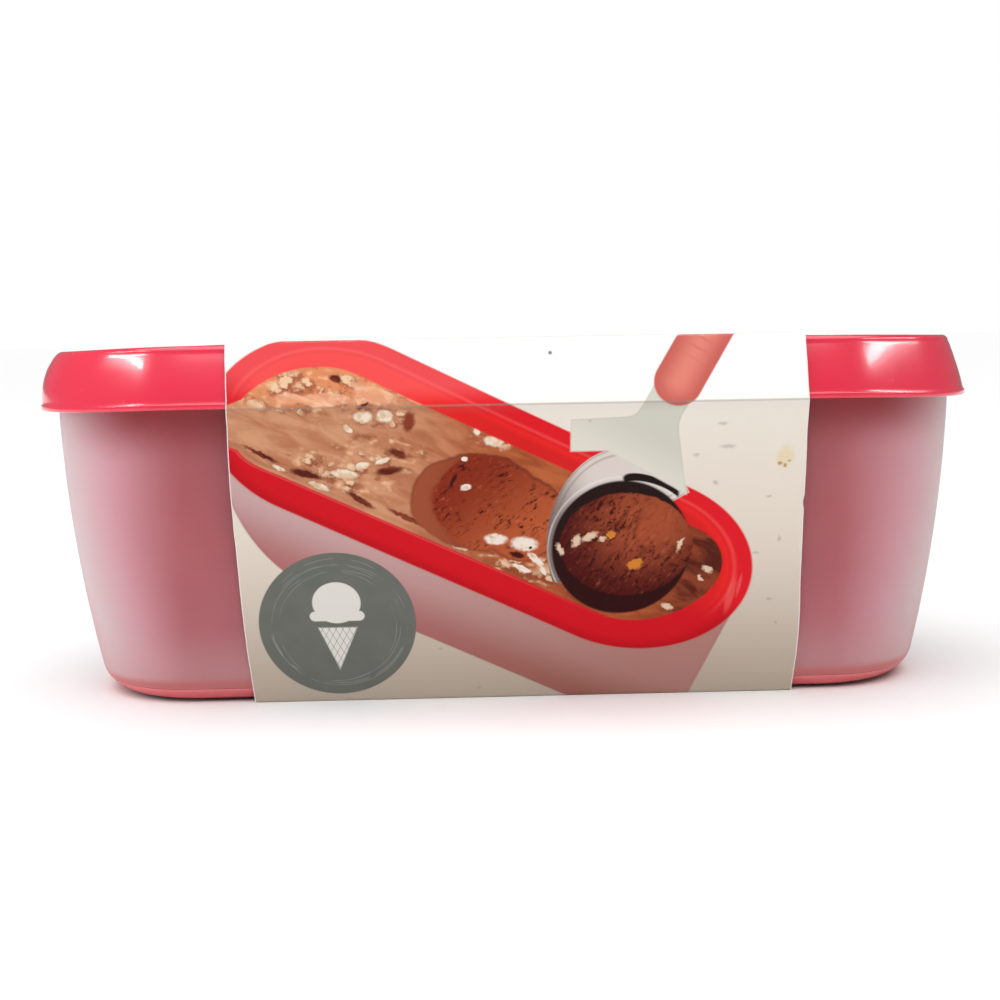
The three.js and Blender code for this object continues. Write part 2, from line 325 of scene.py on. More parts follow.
def lid_tree(material):
    """Sweeps a section round a round-ended rail, closes it with flat panels and bends the ends.

    The section is drawn with its height along -Y, as the sweep turns it up.
    """
    tree = bpy.data.node_groups.new("round_ended_cap", "GeometryNodeTree")
    face = tree.interface
    face.new_socket("Geometry", in_out="INPUT", socket_type="NodeSocketGeometry")
    inputs = ("Half straight", "Rail radius", "Tip flat", "Weld", "Panel radius", "Panel height",
              "Ceiling height", "Skirt height", "Lid height", "Side lean", "Swell start", "End droop",
              "Left swell", "Left sag", "Right sag")
    for label in inputs:
        face.new_socket(label, in_out="INPUT", socket_type="NodeSocketFloat")
    face.new_socket("Geometry", in_out="OUTPUT", socket_type="NodeSocketGeometry")
    given = tree.nodes.new("NodeGroupInput").outputs

    def node(kind, settings=None, values=None):
        made = tree.nodes.new(kind)
        for key, value in (settings or {}).items():
            setattr(made, key, value)
        for key, value in (values or {}).items():
            if isinstance(value, bpy.types.NodeSocket):
                tree.links.new(value, made.inputs[key])
            else:
                made.inputs[key].default_value = value
        return made.outputs

    def maths(operation, *values):
        return node("ShaderNodeMath", {"operation": operation}, dict(enumerate(values)))[0]

    def ease(value, start, end):
        values = {"Value": value, "From Min": start, "From Max": end}
        return node("ShaderNodeMapRange", {"interpolation_type": "SMOOTHSTEP"}, values)[0]

    def rail(radius):
        half = maths("ADD", given["Half straight"], radius)
        sides = {"Width": maths("MULTIPLY", half, 2.0), "Height": maths("MULTIPLY", radius, 2.0)}
        box = node("GeometryNodeCurvePrimitiveQuadrilateral", {"mode": "RECTANGLE"}, sides)[0]
        turn = maths("SUBTRACT", radius, given["Tip flat"])
        bend = {"Curve": box, "Count": 56, "Radius": turn}
        rounded = node("GeometryNodeFilletCurve", {"mode": "POLY"}, bend)[0]
        return node("GeometryNodeSetCurveNormal", {"mode": "Z_UP"}, {"Curve": rounded})[0]

    section = node("GeometryNodeMeshToCurve", None, {"Mesh": given["Geometry"]})[0]
    swept = {"Curve": rail(given["Rail radius"]), "Profile Curve": section}
    wall = node("GeometryNodeCurveToMesh", None, swept)[0]
    join = tree.nodes.new("GeometryNodeJoinGeometry")
    tree.links.new(wall, join.inputs[0])
    for label, flip in (("Panel height", False), ("Ceiling height", True)):
        panel = node("GeometryNodeFillCurve", {"mode": "NGONS"}, {"Curve": rail(given["Panel radius"])})[0]
        lift = node("ShaderNodeCombineXYZ", None, {"Z": given[label]})[0]
        panel = node("GeometryNodeSetPosition", None, {"Geometry": panel, "Offset": lift})[0]
        if flip:
            panel = node("GeometryNodeFlipFaces", None, {"Mesh": panel})[0]
        tree.links.new(panel, join.inputs[0])
    welded = {"Geometry": join.outputs[0], "Distance": given["Weld"]}
    merged = node("GeometryNodeMergeByDistance", None, welded)[0]
    place = node("GeometryNodeInputPosition")[0]
    parts = node("ShaderNodeSeparateXYZ", None, {0: place})
    past = maths("SUBTRACT", maths("ABSOLUTE", parts[0]), given["Half straight"])
    share = maths("DIVIDE", past, given["Rail radius"])
    eased = ease(share, 0.0, 1.0)
    span = maths("SUBTRACT", given["Lid height"], given["Skirt height"])
    low = maths("DIVIDE", maths("SUBTRACT", given["Lid height"], parts[2]), span)
    sink = maths("MULTIPLY", maths("MULTIPLY", eased, low), given["End droop"])
    left = maths("MULTIPLY", eased, maths("LESS_THAN", parts[0], 0.0))
    rise = maths("SUBTRACT", 1.0, low)
    lean = maths("MULTIPLY", maths("POWER", rise, LID_CURVE), given["Side lean"])
    above_bead = maths("MAXIMUM", maths("SUBTRACT", lean, given["Swell start"]), 0.0)
    fullness = maths("SMOOTH_MIN", above_bead, given["Left swell"], given["Left swell"])
    swell = maths("MULTIPLY", fullness, ease(rise, 1.0, 0.6))
    right = maths("SUBTRACT", eased, left)
    left_sag = maths("MULTIPLY", left, given["Left sag"])
    right_sag = maths("MULTIPLY", right, given["Right sag"])
    sag = maths("MULTIPLY", ease(rise, 0.84, 1.0), maths("ADD", left_sag, right_sag))
    drop = maths("MULTIPLY", maths("ADD", sink, sag), -1.0)
    moved = {"X": maths("MULTIPLY", maths("MULTIPLY", swell, left), -1.0), "Z": drop}
    offset = node("ShaderNodeCombineXYZ", None, moved)[0]
    drooped = node("GeometryNodeSetPosition", None, {"Geometry": merged, "Offset": offset})[0]
    solid = node("GeometryNodeRealizeInstances", None, {"Geometry": drooped})[0]
    painted = node("GeometryNodeSetMaterial", None, {"Geometry": solid, "Material": material})[0]
    tree.links.new(painted, tree.nodes.new("NodeGroupOutput").inputs[0])
    return tree


def lid_piece(material):
    """Lid made by the node tree from its half section, as a plain mesh."""
    section = lid_section()
    mesh = bpy.data.meshes.new("lid_section")
    points = [((radius - LID_RADIUS) * MM, -z * MM, 0) for radius, z in section]
    mesh.from_pydata(points, [(i, i + 1) for i in range(len(points) - 1)], [])
    carrier = bpy.data.objects.new("lid_section", mesh)
    bpy.context.scene.collection.objects.link(carrier)
    tree = lid_tree(material)
    modifier = carrier.modifiers.new("cap", "NODES")
    modifier.node_group = tree
    values = {
        "Half straight": HALF_STRAIGHT,
        "Rail radius": LID_RADIUS,
        "Tip flat": TIP_FLAT,
        "Weld": WELD,
        "Panel radius": section[0][0],
        "Panel height": section[-1][1],
        "Ceiling height": section[0][1],
        "Skirt height": SKIRT_Z,
        "Lid height": LID_TOP,
        "Side lean": LID_INSET,
        "Swell start": SWELL_START,
        "End droop": END_DROOP,
        "Left swell": LEFT_SWELL,
        "Left sag": LEFT_SAG,
        "Right sag": RIGHT_SAG,
    }
    for item in tree.interface.items_tree:
        if item.in_out == "INPUT" and item.name in values:
            modifier[item.identifier] = values[item.name] * MM
    depsgraph = bpy.context.evaluated_depsgraph_get()
    result = bpy.data.meshes.new_from_object(carrier.evaluated_get(depsgraph))
    carrier.modifiers.remove(modifier)
    bpy.data.objects.remove(carrier)
    result.name = "lid_cap"
    return placed_piece("lid_cap", result, 32)


def folded_path():
    """Outer face of the back half of the sleeve's section, as (point, outward, print row).

    Points are (y, z), from the middle of the top down to the middle of the underside. The
    print row is the distance down from the crease, negative above it.
    """
    corners = [Vector((0, SLEEVE_TOP.y)), SLEEVE_TOP, SLEEVE_CREASE, SLEEVE_FOOT, Vector((0, 0))]
    rows = []
    travelled = -(SLEEVE_TOP - SLEEVE_CREASE).length - SLEEVE_TOP.x
    last_cut = 0.0
    for i in range(1, 5):
        here = corners[i]
        into = (here - corners[i - 1]).normalized()
        length = (here - corners[i - 1]).length
        turn = 0.0
        if i < 4:
            out = (corners[i + 1] - here).normalized()
            turn = math.acos(clamp(into.dot(out), -1, 1))
        cut_start = last_cut
        last_cut = FOLD_RADIUS * math.tan(turn / 2)
        steps = max(int(length / ROW_STEP), 2)
        for s in range(steps):
            along = cut_start + (length - cut_start - last_cut) * s / steps
            point = corners[i - 1] + into * along
            rows.append((point, Vector((-into.y, into.x)), travelled + along))
        travelled += length
        if i < 4:
            start = here - into * last_cut
            centre = start + Vector((into.y, -into.x)) * FOLD_RADIUS
            for s in range(FOLD_STEPS):
                angle = -turn * s / FOLD_STEPS
                normal = Matrix.Rotation(angle, 2) @ Vector((-into.y, into.x))
                row = travelled - last_cut * (1 - 2 * s / FOLD_STEPS)
                rows.append((centre + normal * FOLD_RADIUS, normal, row))
    rows.append((corners[4], Vector((0, -1)), travelled))
    return rows


def sleeve_x(z, share, row, front):
    """Place along the tub of a point on the band. share runs from -1 to 1 across its length."""
    x = SLEEVE_SHIFT + SLEEVE_LEAN * (z - 50) + share * SLEEVE_LENGTH / 2
    wave = noise.noise(Vector((row * 0.045, 3.1 + share, 0.7 if front else 5.2)))
    ripple = noise.noise(Vector((row * 0.21, 8.4 - share, 2.2 if front else 6.1)))
    x += smooth(abs(share), 0.9, 1.0) * (0.35 * wave + 0.12 * ripple)
    if front and row > 0:
        belly = math.sin(math.pi * clamp(row / FRONT_ROWS))
        if share >= 0:
            belly = smooth(row, 30, 62) * (1 - smooth(row, 70, FRONT_ROWS))
        x += 0.9 * belly * math.copysign(smooth(abs(share), 0.6, 1.0), share)
    if front and share > 0.97:
        x -= 0.45 * math.exp(-((row - 28.5) / 0.9) ** 2)
    return x


def sleeve_piece(print_side, plain_side, raw_edge):
    """Folded band with a printed outer face, a plain inner face and raw cut edges."""
    back = folded_path()
    loop = []
    for point, normal, row in back[:-1]:
        loop.append((point, normal, row, 1))
    for point, normal, row in reversed(back):
        loop.append((Vector((-point.x, point.y)), Vector((-normal.x, normal.y)), row, -1))
    loop = loop[:-1]
    columns = 104
    even = [2 * c / columns - 1 for c in range(columns + 1)]
    shares = [math.sin(math.pi / 2 * share) * 0.35 + share * 0.65 for share in even]
    bare = 2 * BARE_EDGE / SLEEVE_LENGTH
    shares = [-1.0, bare - 1.0] + shares[1:-1] + [1.0 - bare, 1.0]
    columns += 2
    vertices = []
    uv_of = []
    for depth in (0.0, PAPER):
        for point, normal, row, side in loop:
            for share in shares:
                y, z = point
                lift = 0.0
                if 4 < row < 80:
                    near = smooth(row, 4, 20) * (1 - smooth(row, 60, 80))
                    lift = 0.35 * near * noise.noise(Vector((share * 1.7, row * 0.03, side * 4.0)))
                    lift += 0.25 * near * smooth(abs(share), 0.8, 1.0)
                if side > 0 and 0 <= row <= FLAP_LENGTH and depth == 0.0:
                    lift += FLAP_STEP * smooth(row, 0, 4)
                x = sleeve_x(z, share, row, side < 0)
                vertices.append((x, y + normal.x * (lift - depth), z + normal.y * (lift - depth)))
                uv_of.append((x * -side * MM, row * MM))
    wide = columns + 1
    tall = len(loop)
    layer = wide * tall
    faces = []
    slots = []
    for r in range(tall):
        s = (r + 1) % tall
        for c in range(columns):
            near = r * wide + c
            far = s * wide + c
            faces.append((near, near + 1, far + 1, far))
            slots.append(2 if c in (0, columns - 1) else 0)
            faces.append((near + layer, far + layer, far + 1 + layer, near + 1 + layer))
            slots.append(1)
        near = r * wide
        far = s * wide
        faces.append((near, far, far + layer, near + layer))
        slots.append(2)
        near += columns
        far += columns
        faces.append((near, near + layer, far + layer, far))
        slots.append(2)
    piece = new_piece("card_band", vertices, faces, [print_side, plain_side, raw_edge], slots, sharp=55)
    mesh = piece.data
    layout = mesh.uv_layers.new(name="print")
    for loop_corner in mesh.loops:
        layout.data[loop_corner.index].uv = uv_of[loop_corner.vertex_index]
    return piece


# Materials

class Wire:
    """A socket that takes arithmetic. Each operator adds its Math node."""

    def __init__(self, finish, socket):
        self.finish = finish
        self.socket = socket

    def maths(self, operation, *others):
        values = dict(enumerate((self,) + others))
        return self.finish.node("ShaderNodeMath", {"operation": operation}, values)

    def __add__(self, other):
        return self.maths("ADD", other)

    __radd__ = __add__

    def __mul__(self, other):
        return self.maths("MULTIPLY", other)

    __rmul__ = __mul__

    def __sub__(self, other):
        return self.maths("SUBTRACT", other)

    def __rsub__(self, other):
        return self.finish.node("ShaderNodeMath", {"operation": "SUBTRACT"}, {0: other, 1: self})

    def low(self, other):
        return self.maths("MINIMUM", other)

    def high(self, other):
        return self.maths("MAXIMUM", other)

    def size(self):
        return self.maths("ABSOLUTE")

    def wave(self):
        return self.maths("SINE")

    def ease(self, start, end):
        """0 up to start, 1 from end, smooth between."""
        values = {"Value": self, "From Min": start, "From Max": end}
        return self.finish.node("ShaderNodeMapRange", {"interpolation_type": "SMOOTHSTEP"}, values)

    def inside(self, soft):
        """1 where this distance is below zero and 0 above, eased over soft to either side."""
        return self.ease(soft, -soft)


class Finish:
    """One material, built from expressions on its sockets."""

    def __init__(self, name):
        self.material = bpy.data.materials.new(name)
        self.material.use_nodes = True
        self.tree = self.material.node_tree
        self.tree.nodes.clear()

    def node(self, kind, settings=None, values=None, output=0):
        made = self.tree.nodes.new(kind)
        for key, value in (settings or {}).items():
            setattr(made, key, value)
        for key, value in (values or {}).items():
            if isinstance(value, Wire):
                self.tree.links.new(value.socket, made.inputs[key])
            elif isinstance(value, tuple) and len(value) == 3 and made.inputs[key].type == "RGBA":
                made.inputs[key].default_value = (*value, 1)
            else:
                made.inputs[key].default_value = value
        return Wire(self, made.outputs[output])

    def axes(self, vector):
        parts = self.node("ShaderNodeSeparateXYZ", None, {0: vector})
        sockets = parts.socket.node.outputs
        return [Wire(self, socket) for socket in sockets]

    def place(self):
        """Place on the object, in metres."""
        return self.node("ShaderNodeTexCoord", output=3)

    def facing(self):
        """Direction in which the object's surface faces."""
        return self.node("ShaderNodeTexCoord", output=1)

    def vector(self, x, y):
        return self.node("ShaderNodeCombineXYZ", None, {0: x, 1: y})

    def noise(self, vector, scale, detail=2.0, rough=0.5, twist=0.0):
        values = {
            "Vector": vector,
            "Scale": scale,
            "Detail": detail,
            "Roughness": rough,
            "Distortion": twist,
        }
        return self.node("ShaderNodeTexNoise", None, values)

    def cells(self, vector):
        """Distance to the nearest of points strewn about one unit apart."""
        return self.node("ShaderNodeTexVoronoi", {"feature": "F1"}, {"Vector": vector, "Scale": 1.0})

    def mix(self, share, first, second):
        return self.node("ShaderNodeMix", {"data_type": "RGBA"}, {0: share, 6: first, 7: second}, output=2)

    def bump(self, height, depth, strength):
        values = {"Height": height, "Distance": depth, "Strength": strength}
        return self.node("ShaderNodeBump", None, values)

    def surface(self, **sockets):
        """Closes the material with a Principled shader, whose sockets are named with underscores."""
        values = {key.replace("_", " "): value for key, value in sockets.items()}
        shader = self.node("ShaderNodeBsdfPrincipled", None, values)
        result = self.tree.nodes.new("ShaderNodeOutputMaterial")
        self.tree.links.new(shader.socket, result.inputs[0])
        return self.material


def lid_finish():
    """Glossy moulded red with fine scuffs and a faint ripple."""
    made = Finish("lid_gloss")
    place = made.place()
    ripple = made.noise(place, 26.0, 2.0)
    grain = made.noise(place, 2600.0, 2.0)
    scuff = made.noise(place, 420.0, 4.0, 0.65)
    colour = made.mix(ripple.ease(0.3, 0.7), (0.76, 0.028, 0.066), (0.82, 0.035, 0.080))
    height = ripple * 0.6 + grain * 0.03
    return made.surface(
        Base_Color=colour,
        Roughness=0.2 + scuff.ease(0.55, 0.8) * 0.1,
        IOR=1.5,
        Coat_Weight=0.35,
        Coat_Roughness=0.08,
        Subsurface_Weight=0.12,
        Subsurface_Radius=(0.004, 0.0008, 0.0008),
        Normal=made.bump(height, 0.00025, 0.5),
    )


def frosted_finish():
    """Frosted wall that lets the red cup show through as a soft rose, paler where it turns away, with
    painted shade under the lid and on the tips of its ends.
    """
    made = Finish("frosted_wall")
    place = made.place()
    _, _, height = made.axes(place)
    endways, _, _ = made.axes(made.facing())
    grain = made.noise(place, 1800.0, 3.0)
    haze = made.noise(place, 35.0, 2.0)
    side = made.mix(haze.ease(0.3, 0.7), (0.64, 0.155, 0.185), (0.68, 0.18, 0.21))
    turned = endways.size() + haze * 0.06 + height.ease(0.06, 0.012) * 0.15
    wall = made.mix(turned.ease(0.0, 0.62), side, (0.88, 0.46, 0.53))
    wall = made.mix(turned.ease(0.42, 0.98), wall, (0.87, 0.69, 0.70))
    # Painted shade: a darker rose on the tips of the ends, where the wall faces along the tub.
    wall = made.mix(turned.ease(0.92, 1.08) * 0.7, wall, (0.82, 0.47, 0.49))
    # Painted shadow of the lid: a dark red band high on the front and back, under its overhang.
    wall = made.mix(height.ease(0.068, 0.083) * turned.ease(1.0, 0.3), wall, (0.48, 0.025, 0.035))
    foot = made.mix(height.ease(0.024, 0.008) * 0.5, wall, (0.88, 0.52, 0.53))
    colour = made.mix(height.ease(0.0080, 0.0054), foot, (0.94, 0.28, 0.27))
    return made.surface(
        Base_Color=colour,
        Roughness=0.4 + haze * 0.1,
        IOR=1.45,
        Transmission_Weight=0.5,
        Sheen_Weight=0.06,
        Sheen_Roughness=0.45,
        Sheen_Tint=(1.0, 0.95, 0.96),
        Normal=made.bump(grain, 0.00006, 0.5),
    )


def cup_finish():
    """Plain red of the inner cup, seen only through the frosted wall."""
    made = Finish("cup_red")
    place = made.place()
    ripple = made.noise(place, 40.0, 2.0)
    colour = made.mix(ripple.ease(0.3, 0.7), (0.74, 0.020, 0.060), (0.80, 0.028, 0.074))
    return made.surface(Base_Color=colour, Roughness=0.42, Normal=made.bump(ripple, 0.0002, 0.3))


def pad_finish():
    """Soft red grip of the foot, paler where the frosted wall begins."""
    made = Finish("foot_grip")
    place = made.place()
    _, _, height = made.axes(place)
    grain = made.noise(place, 1500.0, 3.0)
    dust = made.noise(place, 90.0, 4.0, 0.6)
    colour = made.mix(dust.ease(0.35, 0.75), (0.66, 0.12, 0.13), (0.72, 0.155, 0.165))
    colour = made.mix(height.ease(0.0024, 0.0044), colour, (0.76, 0.22, 0.23))
    colour = made.mix(height.ease(0.0016, 0.0009), colour, (0.34, 0.035, 0.045))
    return made.surface(
        Base_Color=colour,
        Roughness=0.5 + dust * 0.15,
        Subsurface_Weight=0.1,
        Subsurface_Radius=(0.003, 0.0008, 0.0008),
        Normal=made.bump(grain, 0.00008, 0.5),
    )


def card_finish(name, colour):
    """Unprinted card, faintly fibrous and clouded."""
    made = Finish(name)
    place = made.place()
    fibre = made.noise(place, 900.0, 4.0, 0.6)
    cloud = made.noise(place, 60.0, 3.0)
    dark = tuple(value * 0.88 for value in colour)
    board = made.mix((fibre * 0.5 + cloud * 0.5).ease(0.35, 0.65), dark, colour)
    return made.surface(Base_Color=board, Roughness=0.85, Normal=made.bump(fibre, 0.0001, 0.5))


def tint(red, green, blue):
    """Linear colour of a screen colour from 0 to 255."""
    return tuple((value / 255) ** 2.2 for value in (red, green, blue))


class Drawing(Finish):
    """A finish drawn from soft-edged flat shapes, in millimetres on the sleeve's print map.

    x runs along the tub and y down from the crease under the lid. Each shape is a distance,
    negative inside it. Shapes are measured on vectors, and textures on the mapped sheet, so
    that the renderer needs few values at a time.
    """

    def __init__(self, name):
        super().__init__(name)
        chart = self.node("ShaderNodeUVMap", {"uv_map": "print"})
        to_millimetres = {"Vector": chart, "Scale": (1 / MM, 1 / MM, 1 / MM)}
        self.sheet = self.node("ShaderNodeMapping", None, to_millimetres)
        self.x, self.y, _ = self.axes(self.sheet)
        self.flat = self.vector(self.x, self.y)
        self.rotations = {}
        self.colour = None

    def vectors(self, operation, *values, output=0):
        values = dict(enumerate(values))
        return self.node("ShaderNodeVectorMath", {"operation": operation}, values, output)

    def lay(self, share, colour):
        """Lays a colour over what is drawn so far."""
        self.colour = self.mix(share, self.colour, colour)

    def stretched(self, along, across, turn=0.0, start=0.0):
        """Sheet for a texture, in units of along and across, with its axes turned by degrees."""
        values = {
            "Vector": self.sheet,
            "Location": (start, start, 0),
            "Rotation": (0, 0, math.radians(turn)),
            "Scale": (along, across, 1),
        }
        return self.node("ShaderNodeMapping", {"vector_type": "TEXTURE"}, values)

    def warped(self, size, amount, detail=2.0):
        """The flat sheet moved about by a smooth noise with features of the given size."""
        values = {"Vector": self.sheet, "Scale": 1 / size, "Detail": detail}
        drift = self.node("ShaderNodeTexNoise", None, values, output=1)
        width = (amount * 2, amount * 2, 0)
        middle = (-amount, -amount, 0)
        return self.vectors("ADD", self.flat, self.vectors("MULTIPLY_ADD", drift, width, middle))

    def rotated(self, sheet, turn):
        """A sheet with its axes turned by degrees, made once for each angle."""
        if not turn:
            return sheet
        key = (sheet.socket.node.name, turn)
        if key not in self.rotations:
            cosine, sine = math.cos(math.radians(turn)), math.sin(math.radians(turn))
            along = self.vectors("DOT_PRODUCT", sheet, (cosine, sine, 0), output=1)
            across = self.vectors("DOT_PRODUCT", sheet, (-sine, cosine, 0), output=1)
            self.rotations[key] = self.vector(along, across)
        return self.rotations[key]

    def placed(self, centre, reach, turn=0.0, sheet=None):
        """Vector from a centre, in units of reach, with the axes turned by degrees."""
        cosine, sine = math.cos(math.radians(turn)), math.sin(math.radians(turn))
        along = centre[0] * cosine + centre[1] * sine
        across = centre[1] * cosine - centre[0] * sine
        offset = (-along / reach[0], -across / reach[1], 0)
        scale = (1 / reach[0], 1 / reach[1], 0)
        return self.vectors("MULTIPLY_ADD", self.rotated(sheet or self.flat, turn), scale, offset)

    def oval(self, centre, reach, turn=0.0, sheet=None):
        """An oval with half axes of the given reach."""
        near = self.vectors("LENGTH", self.placed(centre, reach, turn, sheet), output=1)
        return (near - 1) * math.sqrt(reach[0] * reach[1])

    def ovals(self, shapes, sheet=None):
        """The nearest of several ovals, each (x, y, reach along, reach across, turn)."""
        nearest = None
        for x, y, along, across, turn in shapes:
            here = self.vectors("LENGTH", self.placed((x, y), (along, across), turn, sheet), output=1)
            nearest = here if nearest is None else nearest.low(here)
        size = sum(math.sqrt(shape[2] * shape[3]) for shape in shapes) / len(shapes)
        return (nearest - 1) * size

    def beside(self, start, end):
        """Distance from the line through two points: positive on its right, as seen on the print."""
        along = (Vector(end) - Vector(start)).normalized()
        across = (-along.y, along.x, 0)
        offset = -(across[0] * start[0] + across[1] * start[1])
        return self.vectors("DOT_PRODUCT", self.flat, across, output=1) + offset

    def rod(self, start, end, radius):
        """A straight round-ended bar between two points."""
        span = Vector(end) - Vector(start)
        turn = math.degrees(math.atan2(span.y, span.x))
        along, across, _ = self.axes(self.placed(start, (span.length, span.length), turn))
        past = along.low(0) + (along - 1).high(0)
        return self.vectors("LENGTH", self.vector(past, across), output=1) * span.length - radius

    def long_oval(self, centre, along, across, reach):
        """A round-ended outline seen at a slant: an oval drawn out backwards from its centre.

        along and across are the oval's half axes, which needn't be square to each other. It is
        drawn out by reach times along. With the distance comes the share of the way across.
        """
        scale = along[0] * across[1] - along[1] * across[0]
        moved = self.vectors("SUBTRACT", self.flat, (*centre, 0))
        forward = (across[1] / scale, -across[0] / scale, 0)
        sideways = (-along[1] / scale, along[0] / scale, 0)
        ahead = self.vectors("DOT_PRODUCT", moved, forward, output=1)
        aside = self.vectors("DOT_PRODUCT", moved, sideways, output=1)
        past = ahead.high(0) + (ahead + reach).low(0)
        near = self.vectors("LENGTH", self.vector(past, aside), output=1)
        return (near - 1) * math.sqrt(scale), aside


def print_finish():
    """Printed face of the sleeve: a filled tub with a scoop, on a pale ground, and a round label."""
    made = Drawing("printed_card")
    draw_ground(made)
    draw_tub(made)
    bowl = draw_cream(made)
    draw_scoop(made, bowl)
    draw_label(made)
    draw_wear_and_crease_shade(made)
    place = made.place()
    fibre = made.noise(place, 700.0, 3.0)
    sheen = made.noise(place, 45.0, 3.0)
    return made.surface(
        Base_Color=made.colour,
        Roughness=0.42 + sheen * 0.12,
        Specular_IOR_Level=0.1,
        Normal=made.bump(fibre, 0.00005, 0.4),
    )


def draw_ground(made):
    """Pale ground that darkens towards the foot of the front, with painted light making it whiter above the
    crease, where the band faces up.
    """
    # Painted light: the ground is whiter above the crease, on the band that faces up.
    top = made.mix(made.y.ease(-3.0, 3.0), tint(254, 252, 248), tint(234, 226, 214))
    top = made.mix(made.y.ease(0.0, 34.0), top, tint(227, 217, 203))
    made.colour = made.mix(made.y.ease(26.0, 88.0), top, tint(184, 170, 155))
    made.colour = made.mix(made.y.ease(84.0, 110.0), made.colour, tint(206, 198, 186))
    cloud = made.noise(made.place(), 50.0, 3.0)
    board = made.mix(cloud.ease(0.3, 0.7), tint(225, 220, 212), tint(230, 226, 218))
    made.lay(made.y.ease(TOP_FOLD_ROW + 0.5, TOP_FOLD_ROW - 0.7), board)


def draw_tub(made):
    """Frosted side and red collar of the printed tub."""
    x = made.x
    low = made.beside((-30.0, 63.4), (7.4, 82.3))
    right = made.beside((49.7, 86.0), (60.3, 62.4))
    left = made.oval((-40.0, 8.0), (37.0, 47.0)).low(x * -1.0 - 45.0)
    outer, aside = made.long_oval((32.86, 45.91), (28.95, 14.64), (-15.51, 21.44), 2.71)
    side = low.high(right).high(left).high(aside * -10.0)
    edge = made.beside((-74.0, 19.4), (2.1, 60.2))
    pale = made.mix(x.ease(-70.0, 40.0), tint(198, 163, 162), tint(173, 126, 118))
    rose = made.mix(x.ease(-60.0, 40.0), tint(174, 110, 110), tint(150, 96, 84))
    made.lay(side.inside(0.3), made.mix(edge.ease(0.0, 17.0), pale, rose))
    made.lay((side + 0.7).size().inside(0.6) * 0.35, tint(150, 105, 105))

    near = aside.ease(-0.2, 0.3)
    red = made.mix(near, tint(222, 30, 42), tint(207, 22, 36))
    lit = made.mix((outer + 4.4).size().inside(1.1) * (1 - near) * 0.9, red, tint(248, 96, 88))
    lit = made.mix((outer + 5.6).inside(0.6) * (1 - near) * 0.8, lit, tint(236, 44, 38))
    lit = made.mix(outer.ease(-4.0, -0.4) * near * 0.7, lit, tint(180, 12, 28))
    shaded = (outer + 7.0).inside(1.4) * (1 - near) * x.ease(-30.0, 5.0)
    lit = made.mix(shaded * 0.6, lit, tint(198, 30, 36))
    # Painted light: the red collar is lighter above the crease, on the band that faces up.
    lit = made.mix(made.y.ease(1.0, -6.0) * (1 - near) * 0.28, lit, tint(255, 132, 132))
    gleam = made.ovals([(60.0, 56.0, 1.0, 5.0, 12), (62.3, 53.0, 0.5, 3.2, 10)])
    made.lay(outer.inside(0.35), made.mix(gleam.inside(0.8) * 0.55, lit, tint(236, 98, 96)))


